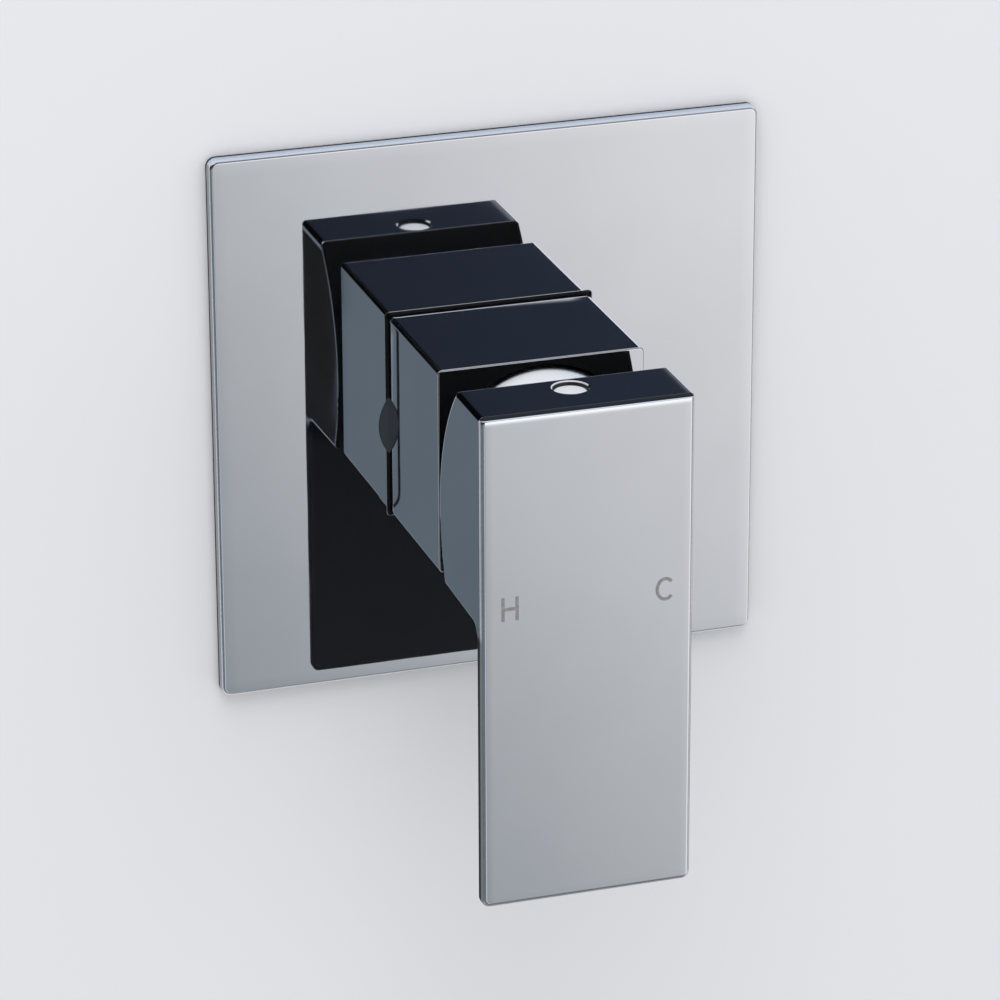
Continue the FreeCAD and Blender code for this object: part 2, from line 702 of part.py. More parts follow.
def moving_disc():
    """The sliding ceramic disc: a mixing chamber behind and the driver's key hole in front."""
    blank = cylinder("moving_disc_blank", S.moving_r, S.disc_thick, out=MOVING_BACK)
    chamber = cylinder("mixing_chamber", S.chamber_r, S.chamber_depth, out=MOVING_BACK)
    side = S.key_side + S.fit_gap * 2
    key = bar("key_hole", side, side, MOVING_TOP - S.key_len - S.fit_gap, MOVING_TOP, -side / 2)
    return cut("moving_disc", blank, [chamber, key])


def disc_driver():
    """The plastic slider that the stem's ball pushes, keyed into the moving disc."""
    blank = cylinder("driver_blank", S.moving_r, S.driver_thick, out=MOVING_TOP)
    key = bar("driver_key", S.key_side, S.key_side, MOVING_TOP - S.key_len, MOVING_TOP, -S.key_side / 2)
    side = (S.ball_r + S.ball_gap) * 2
    pit = bar("ball_pit", side, side, BALL - S.ball_r - S.ball_gap, DRIVER_TOP, -side / 2)
    return cut("disc_driver", fuse("driver_solid", [blank, key]), [pit])


def cartridge_housing():
    """The cartridge's stepped cover; the retaining nut presses on its shoulder."""
    roof = ROOF - BASE_TOP
    shoulder = NUT_BACK - BASE_TOP
    front = CARRIER_FRONT - BASE_TOP
    corners = [
        (HOUSING_BORE, 0 * roof), (S.cartridge_r, 0 * roof), (S.cartridge_r, shoulder),
        (HOUSING_FRONT_R, shoulder), (HOUSING_FRONT_R, front), (HOUSING_FRONT_BORE, front),
        (HOUSING_FRONT_BORE, roof), (HOUSING_BORE, roof),
    ]
    return turned("cartridge_housing", corners, BASE_TOP)


def stem_carrier():
    """The turning carrier: a slot for the stem and a cross hole for the lever's pin."""
    flange = cylinder("carrier_foot", S.carrier_flange_r, S.carrier_flange, out=CARRIER_BACK)
    barrel = cylinder("carrier_barrel", S.carrier_r, CARRIER_FRONT - CARRIER_BACK, out=CARRIER_BACK)
    width = S.hub_width + S.slot_gap * 2
    slot = bar("carrier_slot", width, S.slot_up + S.slot_down, CARRIER_BACK, CARRIER_FRONT, -S.slot_down)
    hole = cylinder("carrier_pin_hole", S.pin_r + S.fit_gap, S.carrier_r * 2, -S.carrier_r, PIVOT, 0.0, "right")
    return cut("stem_carrier", fuse("carrier_solid", [flange, barrel]), [slot, hole])


def stem_pin():
    half = S.carrier_r - S.pin_sunk
    return cylinder("stem_pin", S.pin_r, half * 2, -half, PIVOT, 0.0, "right")


def lever_stem():
    """The stem: square shank for the handle, hub on the pin, rod and ball for the driver."""
    shank = bar("stem_shank", S.stem_side, S.stem_side, PIVOT, STEM_TIP, -S.stem_side / 2)
    hub = cylinder("stem_hub", S.hub_r, S.hub_width, -S.hub_width / 2, PIVOT, 0.0, "right")
    rod = cylinder("stem_rod", S.rod_r, PIVOT - BALL, out=BALL)
    ball = sphere("stem_ball", S.ball_r, BALL)
    hole = cylinder("stem_pin_hole", S.pin_r + S.pin_gap, S.hub_width, -S.hub_width / 2, PIVOT, 0.0, "right")
    return cut("lever_stem", fuse("stem_solid", [shank, hub, rod, ball]), [hole])


def retaining_nut():
    """The brass nut that holds the cartridge in the neck."""
    thread = cylinder("nut_thread_part", NECK_THREAD - S.thread_gap, S.nut_thread + S.nut_stand, out=NUT_BACK)
    head = hexagon("nut_head", SKIRT_BORE - S.thread_gap, S.nut_collar, out=NECK_END + S.nut_stand)
    length = S.nut_thread + S.nut_stand + S.nut_collar
    hole = cylinder("nut_hole", HOUSING_FRONT_R + S.turn_gap, length, out=NUT_BACK)
    return cut("retaining_nut", fuse("nut_solid", [thread, head]), [hole])


def on_dome(radius, across):
    """The height above the neck's end of a dome's point at a distance from the axis."""
    return number(PIVOT - NECK_END) + math.sqrt(number(radius) ** 2 - number(across) ** 2)


def dome_cover():
    """The chrome cover over the nut: a skirt on the neck's end and a dome about the lever's pin."""
    inner_r = DOME_R - S.dome_wall
    centre = PIVOT - NECK_END
    corners = [
        (SKIRT_BORE, 0 * centre), (S.skirt_r, 0 * centre), (S.skirt_r, on_dome(DOME_R, S.skirt_r)),
        (S.dome_hole, on_dome(DOME_R, S.dome_hole)), (S.dome_hole, on_dome(inner_r, S.dome_hole)),
        (SKIRT_BORE, on_dome(inner_r, SKIRT_BORE)),
    ]
    arcs = {2: (0 * centre, -centre, DOME_R, False), 4: (0 * centre, -centre, inner_r, True)}
    return turned("dome_cover", corners, NECK_END, arcs)


# The handle


def handle_block():
    """The handle's outside: a square block with a rounded back and a thin lever below it."""
    body = new_body("handle_block")
    sketch = sketch_on(body, "handle_profile", "YZ_Plane")
    front = -HANDLE_FRONT
    lever_back = S.lever_thick - HANDLE_FRONT
    centre_y = -BACK_CENTRE
    centre_z = -S.back_drop

    def on_back(z):
        return number(centre_y) + math.sqrt(number(S.back_r) ** 2 - (z - number(centre_z)) ** 2)

    corners = [
        (front, HANDLE_HALF), (on_back(number(HANDLE_HALF)), HANDLE_HALF),
        (on_back(-number(HANDLE_HALF)), -HANDLE_HALF), (lever_back, -HANDLE_HALF - S.underside_fall),
        (lever_back, -S.lever_drop), (front, -S.lever_drop),
    ]
    outline(sketch, corners, {1: (centre_y, centre_z, S.back_r, False)})
    feature = pad(body, "handle_pad", sketch, S.handle_side)
    feature.SideType = "Symmetric"

    def inner_corner(edge):
        point = edge.CenterOfMass
        return near(point.x, 0) and near(point.y, lever_back) and point.z > -number(S.lever_drop) / 2

    round_edges(body, "lever_blend", S.lever_blend, inner_corner)

    def at_tip(edge):
        return runs_out(edge) and edge.CenterOfMass.z < -number(S.lever_drop) / 2

    round_edges(body, "lever_corners", S.lever_corner, at_tip)

    def outer_edge(edge):
        """An edge of the two side faces, or a sharp edge across the handle."""
        if near(edge.BoundBox.XLength, 0):
            return not at_tip(edge)
        point = edge.CenterOfMass
        smooth = near(point.y, lever_back) and point.z > -number(S.lever_drop) + 1
        under = near(point.z, -HANDLE_HALF - S.underside_fall) or smooth
        blend = number(lever_back) + 1e-3 < point.y and point.z < -number(HANDLE_HALF) - 0.05
        return not under and not blend

    round_edges(body, "handle_edges", S.handle_edge, outer_edge)
    return body


def handle():
    """The handle, hollowed round the dome, with the stem's socket and the grub screw's hole."""
    side = S.stem_side + S.fit_gap * 2
    floor = HANDLE_HALF - S.plug_sunk - S.plug_thick
    bevel = DOC.addObject("Part::Cone", "mouth_cone")
    bind(bevel, "Radius1", S.mouth_r)
    bind(bevel, "Radius2", S.mouth_r + S.mouth_bevel)
    bind(bevel, "Height", S.mouth_bevel)
    place(bevel, 0.0, GRUB_OUT, HANDLE_HALF - S.mouth_bevel)
    tools = [
        sphere("handle_hollow", DOME_R + S.cavity_gap, PIVOT),
        bar("stem_socket", side, side, PIVOT, STEM_TIP + S.socket_spare, -side / 2),
        cylinder("grub_hole", S.grub_r + S.fit_gap, HANDLE_HALF, 0.0, GRUB_OUT, 0.0, "up"),
        cylinder("mouth_hole", S.mouth_r, HANDLE_HALF - floor, 0.0, GRUB_OUT, floor, "up"),
        bevel,
    ]
    return cut("handle", handle_block(), tools)


def grub_screw():
    """The screw that clamps the handle on the stem's flat."""
    tip = S.stem_side / 2
    blank = cylinder("grub_blank", S.grub_r, S.grub_len, 0.0, GRUB_OUT, tip, "up")
    key = hexagon("grub_key", S.grub_key_r, S.grub_key_len,
                  0.0, GRUB_OUT, tip + S.grub_len - S.grub_key_len, "up")
    return cut("grub_screw", blank, [key])


def hole_plug():
    """The bright plug that hides the grub screw."""
    radius = S.mouth_r - S.fit_gap
    floor = HANDLE_HALF - S.plug_sunk - S.plug_thick
    straight = S.plug_thick - S.plug_bevel
    rod = cylinder("plug_rod", radius, straight, 0.0, GRUB_OUT, floor, "up")
    rim = DOC.addObject("Part::Cone", "plug_rim")
    bind(rim, "Radius1", radius)
    bind(rim, "Radius2", radius - S.plug_bevel)
    bind(rim, "Height", S.plug_bevel)
    place(rim, 0.0, GRUB_OUT, floor + straight)
    return fuse("hole_plug", [rod, rim])


def all_parts():
    return [
        wall_plate(), plate_gasket(), plate_seal(), sleeve(), sleeve_o_rings(),
        mixer_body(), cartridge_neck(), outlet_stopper(), outlet_stopper_seal(),
        cartridge_base(), port_seals("base_seals", -S.floor_depth),
        port_seals("disc_seals", BASE_TOP - S.ring_seal_len),
        fixed_disc(), moving_disc(), disc_driver(), cartridge_housing(),
        stem_carrier(), stem_pin(), lever_stem(), retaining_nut(), dome_cover(),
        handle(), grub_screw(), hole_plug(),
    ]


def check(parts):
    """Stop if any object failed or a part's shape is empty or broken."""
    for thing in DOC.Objects:
        if any(state in ("Invalid", "Error") for state in thing.State):
            raise RuntimeError(f"{thing.Name} failed: {thing.State}")
    for part in parts:
        if part.Shape.isNull() or not part.Shape.isValid() or not part.Shape.Solids:
            raise RuntimeError(f"{part.Label} has no valid solid")


def main():
    parts = all_parts()
    DOC.recompute()
    check(parts)
    os.makedirs("parts", exist_ok=True)
    for part in parts:
        part.Shape.exportStep(f"parts/{part.Label}.step")
        box = part.Shape.BoundBox
        spans = " ".join(f"{low:.2f}..{high:.2f}" for low, high in (
            (box.XMin, box.XMax), (box.YMin, box.YMax), (box.ZMin, box.ZMax)))
        print(f"{part.Label}: {len(part.Shape.Solids)} solids, {part.Shape.Volume:.1f} mm3, {spans}")


main()
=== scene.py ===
"""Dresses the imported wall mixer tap: finishes for its pieces, hot and cold marks, a plain stage."""

import json
import math

import bpy
import numpy as np
from bpy.props import FloatProperty, FloatVectorProperty, PointerProperty
from bpy.types import Operator, Panel, PropertyGroup
from mathutils import Matrix, Vector


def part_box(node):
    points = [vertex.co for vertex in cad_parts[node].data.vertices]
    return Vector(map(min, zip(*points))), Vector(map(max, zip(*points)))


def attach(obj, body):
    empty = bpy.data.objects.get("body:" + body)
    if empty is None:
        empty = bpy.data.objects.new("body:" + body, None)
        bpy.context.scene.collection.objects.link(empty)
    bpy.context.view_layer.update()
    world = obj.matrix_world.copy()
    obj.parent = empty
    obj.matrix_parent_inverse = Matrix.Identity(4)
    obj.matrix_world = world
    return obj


bl_info = {
    "name": "Wall mixer tap",
    "version": (1, 0, 0),
    "blender": (4, 5, 0),
    "location": "View3D > Sidebar > Mixer tap",
    "description": "Finishes, marks and stage for a concealed single-lever wall mixer",
    "category": "Object",
}

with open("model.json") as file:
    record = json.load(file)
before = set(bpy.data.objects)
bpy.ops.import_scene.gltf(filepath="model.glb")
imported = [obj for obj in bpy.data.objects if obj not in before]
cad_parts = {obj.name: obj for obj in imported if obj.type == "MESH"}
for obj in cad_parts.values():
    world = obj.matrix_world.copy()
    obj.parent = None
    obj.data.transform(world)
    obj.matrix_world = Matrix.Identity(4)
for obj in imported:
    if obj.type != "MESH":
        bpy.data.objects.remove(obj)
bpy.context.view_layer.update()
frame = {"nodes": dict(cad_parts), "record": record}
HANDLE_LOW, HANDLE_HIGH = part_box("handle")
PLATE_LOW, PLATE_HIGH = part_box("wall_plate")
SLEEVE_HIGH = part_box("sleeve")[1]
PLUG_LOW, PLUG_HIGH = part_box("hole_plug")
BODY_LOW, BODY_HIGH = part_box("mixer_body")
MOUNTS = {mount["name"]: mount for mount in frame["record"]["mounts"]}

CAST_PIECES = ("mixer_body",)
BRASS_PIECES = ("cartridge_neck", "outlet_stopper", "retaining_nut", "lever_stem")
STEEL_PIECES = ("stem_pin", "grub_screw")
RUBBER_PIECES = ("plate_seal", "sleeve_o_rings", "outlet_stopper_seal", "base_seals", "disc_seals")
PLASTIC_PIECES = ("cartridge_base", "disc_driver", "cartridge_housing", "stem_carrier")
CERAMIC_PIECES = ("fixed_disc", "moving_disc")

# Sizes of the finishes' details, in metres. A roll-off gives its width, then its depth at the left, at the
# right and at both ends. A drawn rim gives its width, then its slope where it starts and at the opening.
PLATE_ROLL = (0.0035, 0.00002, 0.00004, 0.00004)
HANDLE_ROLL = (0.0025, 0.00004, 0.000025, 0.00002)
CROWN_WIDTH = 0.0019
CROWN_DEPTH = 0.00033
LEFT_RIM = (0.00185, 0.011, 0.045)
END_RIM = (0.0013, 0.0, 0.024)
RIM_FADE = 0.005
SEAL_WALL = 0.0006
RIPPLE_DEPTH = 0.000007
THREAD_PITCH = 0.001814
THREAD_RADIUS = 0.0094
THREAD_LENGTH = 0.0133

# Tones of the reflector
CARD_DIM = (0.15, 0.188, 0.220)
CARD_BRIGHT = (1.0, 0.99, 1.0)
STRIP_TONE = (0.66, 0.67, 0.70)
GLOW_TONE = (1.22, 1.25, 1.34)
FAR_RIGHT_TONE = (0.30, 0.31, 0.33)
UNDER_TONE = (0.15, 0.16, 0.17)
BAND_BLACK = (0.003, 0.003, 0.004)
BAND_NAVY = (0.028, 0.036, 0.056)
TOP_TONE = (0.86, 0.92, 1.0)

# Places and sizes on the stage, in metres
WALL_GAP = 0.0004
WALL_WIDTH = 6.0
WALL_HEIGHT = 3.4
FLOOR_FRONT = -0.5
FLOOR_DEPTH = 1.5
FLAG_CORNER = (-0.2692, -0.900, -0.470)
FLAG_WIDTH = 0.020
FLAG_HEIGHT = 0.200
SOFTBOX_PLACE = (-0.3, -0.9, 1.7)
SOFTBOX_SIDE = 1.4


# Settings


class TapFinish(PropertyGroup):
    """Colours of the tap's finishes, and of the shade and reflections painted on them."""

    chrome: FloatVectorProperty(
        name="Chrome", description="Mirror colour of the chrome plating",
        subtype="COLOR", size=3, min=0, max=1, default=(0.80, 0.81, 0.83))
    # Painted shade: a dark colour for the handle's wall side, standing in for the shade behind the handle.
    back_shade: FloatVectorProperty(
        name="Handle's back", description="Colour of the handle's unpolished wall side",
        subtype="COLOR", size=3, min=0, max=1, default=(0.032, 0.034, 0.039))
    satin: FloatVectorProperty(
        name="Satin chrome", description="Mirror colour of the dome's satin plating",
        subtype="COLOR", size=3, min=0, max=1, default=(0.96, 0.98, 1.0))
    # Painted reflection: the blue cast on the plate's top edge.
    top_edge_reflection: FloatVectorProperty(
        name="Top edge", description="Mirror colour of the plate's top edge",
        subtype="COLOR", size=3, min=0, max=1, default=(0.70, 0.78, 0.90))
    # Painted reflection: a dark colour on the upper part of the handle's top front edge.
    brow_reflection: FloatVectorProperty(
        name="Brow", description="Mirror colour of the handle's top front edge",
        subtype="COLOR", size=3, min=0, max=1, default=(0.015, 0.020, 0.030))
    # Painted shade: this dark colour makes the plate's shadow line at the wall, the dark line under its top
    # edge, and the handle's darkened edges, lever sides, downward faces and hole.
    painted_shade: FloatVectorProperty(
        name="Cut edge", description="Colour of the plate's bare edge at the wall",
        subtype="COLOR", size=3, min=0, max=1, default=(0.03, 0.031, 0.034))
    plug: FloatVectorProperty(
        name="Plug", description="Colour of the plug over the grub screw",
        subtype="COLOR", size=3, min=0, max=1, default=(0.76, 0.78, 0.81))
    brass: FloatVectorProperty(
        name="Brass", description="Colour of clean brass",
        subtype="COLOR", size=3, min=0, max=1, default=(0.72, 0.53, 0.27))
    steel: FloatVectorProperty(
        name="Steel", description="Colour of the pin and the grub screw",
        subtype="COLOR", size=3, min=0, max=1, default=(0.52, 0.53, 0.55))
    rubber: FloatVectorProperty(
        name="Rubber", description="Colour of the seals",
        subtype="COLOR", size=3, min=0, max=1, default=(0.012, 0.012, 0.013))
    # Painted light: a lighter colour for the seal's tab where it lies open at the plate's front.
    bloom: FloatVectorProperty(
        name="Rubber bloom", description="Colour of the seal's open tab",
        subtype="COLOR", size=3, min=0, max=1, default=(0.040, 0.045, 0.053))
    foam: FloatVectorProperty(
        name="Foam", description="Colour of the gasket behind the plate",
        subtype="COLOR", size=3, min=0, max=1, default=(0.07, 0.07, 0.075))
    plastic: FloatVectorProperty(
        name="Cartridge plastic", description="Colour of the cartridge's mouldings",
        subtype="COLOR", size=3, min=0, max=1, default=(0.72, 0.70, 0.64))
    ceramic: FloatVectorProperty(
        name="Ceramic", description="Colour of the discs",
        subtype="COLOR", size=3, min=0, max=1, default=(0.84, 0.82, 0.77))


class TapMarks(PropertyGroup):
    """Sizes of the hot and cold marks on the handle's front."""

    height: FloatProperty(
        name="Height", description="Height of a letter", unit="LENGTH", default=0.0052)
    hot_width: FloatProperty(
        name="Hot width", description="Width of the hot letter", unit="LENGTH", default=0.0037)
    cold_width: FloatProperty(
        name="Cold width", description="Width of the cold letter", unit="LENGTH", default=0.0042)
    stroke: FloatProperty(
        name="Stroke", description="Width of a letter's stroke", unit="LENGTH", default=0.0007)
    proud: FloatProperty(
        name="Thickness", description="Thickness of the paint",
        unit="LENGTH", precision=5, default=0.00004)
    apart: FloatProperty(
        name="Offset", description="Distance of a letter's middle from the axis",
        unit="LENGTH", default=0.0166)
    drop: FloatProperty(
        name="Drop", description="Drop of the letters' middle below the axis",
        unit="LENGTH", default=0.0190)
    paint: FloatVectorProperty(
        name="Paint", description="Colour of the letters",
        subtype="COLOR", size=3, min=0, max=1, default=(0.22, 0.212, 0.205))


class TapStage(PropertyGroup):
    """Backdrop, lamp and camera."""

    wall: FloatVectorProperty(
        name="Wall", description="Colour of the backdrop and the floor",
        subtype="COLOR", size=3, min=0, max=1, default=(0.84, 0.84, 0.845))
    sky: FloatVectorProperty(
        name="Room light", description="Colour of the even light all round",
        subtype="COLOR", size=3, min=0, max=1, default=(0.80, 0.81, 0.84))
    floor_drop: FloatProperty(
        name="Floor", description="Drop of the floor below the tap's axis", unit="LENGTH", default=1.1)
    screen_radius: FloatProperty(
        name="Screen", description="Radius of the reflector in front of the tap",
        unit="LENGTH", default=3.5)
    lamp_power: FloatProperty(name="Softbox", description="Power of the softbox in watts", default=14.0)
    aim: FloatVectorProperty(
        name="Aim", description="Point that the camera looks at", subtype="TRANSLATION", size=3,
        default=(-0.00032, -0.011113, -0.019068))
    azimuth: FloatProperty(
        name="Azimuth", description="Turn of the camera to the left", subtype="ANGLE",
        default=math.radians(17.948))
    elevation: FloatProperty(
        name="Elevation", description="Height of the camera", subtype="ANGLE",
        default=math.radians(22.011))
    roll: FloatProperty(
        name="Roll", description="Roll of the camera", subtype="ANGLE", default=math.radians(-0.200))
    distance: FloatProperty(
        name="Distance", description="Distance of the camera from its aim", unit="LENGTH", default=1.06291)
    lens: FloatProperty(
        name="Lens", description="Focal length in millimetres on a 36 mm frame", default=180.315)


# Shader building


class Wire:
    """A shader value. Arithmetic on it adds Math nodes."""

    def __init__(self, paint, socket):
        self.paint = paint
        self.socket = socket

    def math(self, operation, first, second=0.0):
        made = self.paint.node("ShaderNodeMath", {"operation": operation}, {0: first, 1: second})
        return Wire(self.paint, made.outputs[0])

    def __add__(self, other):
        return self.math("ADD", self, other)

    __radd__ = __add__

    def __sub__(self, other):
        return self.math("SUBTRACT", self, other)

    def __rsub__(self, other):
        return self.math("SUBTRACT", other, self)

    def __mul__(self, other):
        return self.math("MULTIPLY", self, other)

    __rmul__ = __mul__

    def __truediv__(self, other):
        return self.math("DIVIDE", self, other)

    def __pow__(self, other):
        return self.math("POWER", self, other)

    def __abs__(self):
        return self.math("ABSOLUTE", self)

    def sine(self):
        return self.math("SINE", self)

    def larger(self, other):
        return self.math("MAXIMUM", self, other)

    def smaller(self, other):
        return self.math("MINIMUM", self, other)

    def turn_from(self, other):
        """The angle of the point (self, other) about the origin."""
        return self.math("ARCTAN2", other, self)


class Paint:
    """A node tree that is filled node by node."""

    def __init__(self, tree):
        self.tree = tree
        tree.nodes.clear()

    def node(self, kind, settings=None, sockets=None):
        """Add a node: its settings come first, then its sockets' values or links."""
        made = self.tree.nodes.new(kind)
        for name, value in (settings or {}).items():
            setattr(made, name, value)
        for key, value in (sockets or {}).items():
            socket = made.inputs[key]
            if isinstance(value, Wire):
                self.tree.links.new(value.socket, socket)
            else:
                socket.default_value = value
        return made

    def wire(self, kind, settings=None, sockets=None, output=0):
        """Add a node and give back one of its outputs."""
        return Wire(self, self.node(kind, settings, sockets).outputs[output])

    def place(self):
        return self.wire("ShaderNodeTexCoord", output="Object")

    def facing(self):
        """The surface's normal in the piece's own frame, as x, y and z."""
        return self.split(self.wire("ShaderNodeTexCoord", output="Normal"))

    def split(self, vector):
        made = self.node("ShaderNodeSeparateXYZ", None, {0: vector})
        return tuple(Wire(self, socket) for socket in made.outputs)

    def noise(self, scale, detail=3.0, roughness=0.5, vector=None):
        sockets = {"Scale": scale, "Detail": detail, "Roughness": roughness}
        return self.wire("ShaderNodeTexNoise", None, {"Vector": vector or self.place(), **sockets})

    def ramp(self, value, low, high, bottom=0.0, top=1.0):
        """A smooth step from bottom to top as value goes from low to high."""
        settings = {"interpolation_type": "SMOOTHSTEP"}
        return self.wire("ShaderNodeMapRange", settings, {0: value, 1: low, 2: high, 3: bottom, 4: top})

    def mix(self, share, first, second):
        sockets = {0: share, 6: solid(first), 7: solid(second)}
        return self.wire("ShaderNodeMix", {"data_type": "RGBA"}, sockets, 2)

    def bump(self, height, distance, strength=1.0):
        sockets = {"Strength": strength, "Distance": distance, "Height": height}
        return self.wire("ShaderNodeBump", None, sockets)

    def finish(self, sockets):
        """End the tree in one Principled shader."""
        shader = self.wire("ShaderNodeBsdfPrincipled", None, sockets)
        self.node("ShaderNodeOutputMaterial", None, {"Surface": shader})


def solid(colour):
    """A colour for a socket: a link stays, three numbers get an alpha."""
    return colour if isinstance(colour, Wire) else (*colour, 1.0)


def shade(colour, factor):
    return tuple(min(1.0, part * factor) for part in colour)


def new_material(name):
    material = bpy.data.materials.new(name)
    material.use_nodes = True
    return material, Paint(material.node_tree)


def dress(nodes, material):
    for name in nodes:
        frame["nodes"][name].material_slots[0].material = material


# Finishes


def rolled_edge(paint, low, high, width, left, right, ends):
    """The height of a face that polishing has rolled off: -a (1 - d / w)^2 at a distance d < w inside
    the box, with a depth a of its own for the left side, the right side and both ends."""
    x, _, z = paint.split(paint.place())
    end = (z - low.z).smaller(high.z - z)
    height = 0.0
    for depth, inside in ((left, x - low.x), (right, high.x - x), (ends, end)):
        share = (1 - inside / width).larger(0.0)
        height = height - depth * (share * share)
    return height


def drawn_rim(paint, half):
    """The height of the plate's rim at its square opening, which the press has drawn in: the slope grows
    evenly from first to last over the rim's width w, so the height is -w (first s + (last - first) s^2 / 2)
    at a share s of the width. The left side, beside the notch, and the two ends have rims of their own."""
    x, _, z = paint.split(paint.place())
    height = 0.0
    for out, along, (width, first, last) in ((0 - x, z, LEFT_RIM), (abs(z), x, END_RIM)):
        share = (1 - (out - half) / width).larger(0.0).smaller(1.0)
        inside = paint.ramp(abs(along), half, half - RIM_FADE)
        inside = inside * paint.ramp(out, half - 0.0008, half - 0.0003)
        height = height - width * inside * (first * share + (last - first) / 2 * (share * share))
    return height


def polished(paint, finish):
    """The colour and roughness of plating with a faint haze in patches and a fine grain."""
    haze = paint.noise(38.0, 4.0)
    tint = paint.mix(paint.ramp(haze, 0.35, 0.7), finish.chrome, shade(finish.chrome, 0.97))
    return tint, 0.014 + 0.02 * paint.ramp(haze, 0.4, 0.75) + 0.005 * paint.noise(2600.0, 2.0)


def ripple(paint):
    """The height of the faint unevenness under the plating."""
    return RIPPLE_DEPTH * paint.noise(55.0, 2.0)


def sleeve_material(finish):
    """Polished plating, with painted shade darkening the rounded edges, which are also rougher."""
    material, paint = new_material("chrome")
    tint, roughness = polished(paint, finish)
    side, away, up = paint.facing()
    # Painted shade: the rounded edges get a darker chrome.
    edge = paint.ramp(abs(side).larger(abs(away)).larger(abs(up)), 0.99, 0.93)
    paint.finish({
        "Base Color": paint.mix(edge, tint, shade(finish.chrome, 0.42)), "Metallic": 1.0,
        "Roughness": roughness + 0.12 * edge, "Normal": paint.bump(ripple(paint), 1.0),
    })
    return material


def plate_material(finish):
    """Polished plating, rolled off at its outer edges and drawn in at the opening. The rounded edges are
    softer, the sides are darkened with painted shade, the top edge has a painted blue reflection over a
    painted dark line, and the line at the wall has a painted shadow."""
    material, paint = new_material("plate_chrome")
    tint, roughness = polished(paint, finish)
    side, _, up = paint.facing()
    flank = abs(side).larger(0 - up)
    # Painted shade on the sides, a painted dark line and a painted blue reflection on the top edge, and a
    # painted shadow along the line at the wall.
    tint = paint.mix(paint.ramp(flank, 0.85, 0.97), tint, shade(finish.chrome, 0.42))
    under = paint.ramp(up, 0.10, 0.20) * paint.ramp(up, 0.62, 0.50) * paint.ramp(abs(side), 0.30, 0.10)
    tint = paint.mix(0.65 * under, tint, finish.painted_shade)
    tint = paint.mix(paint.ramp(up, 0.50, 0.70), tint, finish.top_edge_reflection)
    shadowed = paint.ramp(paint.split(paint.place())[1], -0.0010, -0.0006)
    height = ripple(paint) + rolled_edge(paint, PLATE_LOW, PLATE_HIGH, *PLATE_ROLL)
    height = height + drawn_rim(paint, SLEEVE_HIGH.x + SEAL_WALL)
    paint.finish({
        "Base Color": paint.mix(shadowed, tint, finish.painted_shade), "Metallic": 1.0,
        "Roughness": roughness + (0.2 * paint.ramp(flank.larger(up), 0.05, 0.3)).larger(0.7 * shadowed),
        "Normal": paint.bump(height, 1.0),
    })
    return material


def handle_shade(paint, lever):
    """How much painted shade darkens the handle's plating, which is also duller there: on the upright front
    edges, the lever's thin sides, the faces that look down, the top's edges at the right and the back, and
    in the plug's hole below its bevel."""
    x, y, z = paint.split(paint.place())
    side, away, up = paint.facing()
    # Painted shade: each mask below darkens the plating.
    flank = paint.ramp(abs(side), 0.55, 0.8)
    edge_shade = (0.5 * flank * paint.ramp(0 - away, 0.15, 0.35)).larger(0.72 * flank * lever)
    edge_shade = edge_shade.larger(0.6 * paint.ramp(0 - up, 0.15, 0.4))
    edge_shade = edge_shade.larger(0.92 * paint.ramp(up, 0.86, 0.93) * paint.ramp(side.larger(away), 0.03, 0.10))
    y_hole = (PLUG_LOW.y + PLUG_HIGH.y) / 2
    r_hole = (PLUG_HIGH.x - PLUG_LOW.x) / 2
    hole = paint.ramp((x * x + (y - y_hole) ** 2.0) ** 0.5, r_hole + 0.0006, r_hole + 0.0004)
    return edge_shade.larger(0.96 * hole * paint.ramp(z, HANDLE_HIGH.z - 0.00018, HANDLE_HIGH.z - 0.00028))


def handle_material(finish):
    """Polished plating with rolled-off edges and a rounder top, -a (1 - d / w)^2 at a distance d < w below
    it. The upright front edges are softer and darkened with painted shade, the top's front edge has a
    painted dark reflection down to its highlight; the side to the wall is dull, with painted shade darkest
    at the dome."""
    material, paint = new_material("handle_chrome")
    tint, roughness = polished(paint, finish)
    _, y, z = paint.split(paint.place())
    side, away, up = paint.facing()
    face = HANDLE_LOW.y
    lever = paint.ramp(z, -0.0225, -0.0265)
    edge_shade = handle_shade(paint, lever)
    crest = paint.ramp(abs(side), 0.1, 0.3) * paint.ramp(0 - away, 0.2, 0.4)
    # Painted shade: the side to the wall gets the dark colour below.
    back = paint.ramp(away, 0.30, 0.42).larger(lever * paint.ramp(y, face + 0.0006, face + 0.0013))
    front = paint.ramp(y, face + 0.0013, face + 0.0011) * paint.ramp(0 - away, 0.04, 0.10)
    # Painted dark reflection on the upper part of the top's front edge.
    brow_reflection = 0.98 * front * paint.ramp(up, 0.36, 0.46)
    # Painted shade: the wall side is darker still near the dome.
    block_shade = paint.ramp(z, -0.030, -0.024)
    skin = paint.mix(block_shade, finish.back_shade, shade(finish.back_shade, 0.4))
    colour = paint.mix(back, paint.mix(edge_shade, tint, finish.painted_shade), skin)
    crown = (1 - (HANDLE_HIGH.z - z) / CROWN_WIDTH).larger(0.0)
    height = ripple(paint) + rolled_edge(paint, HANDLE_LOW, HANDLE_HIGH, *HANDLE_ROLL)
    paint.finish({
        "Base Color": paint.mix(brow_reflection, colour, finish.brow_reflection), "Metallic": 1.0,
        "Roughness": roughness + (0.7 * back).larger(0.5 * edge_shade).larger(0.2 * crest).larger(0.5 * brow_reflection),
        "Normal": paint.bump(height - CROWN_DEPTH * (crown * crown), 1.0),
    })
    return material


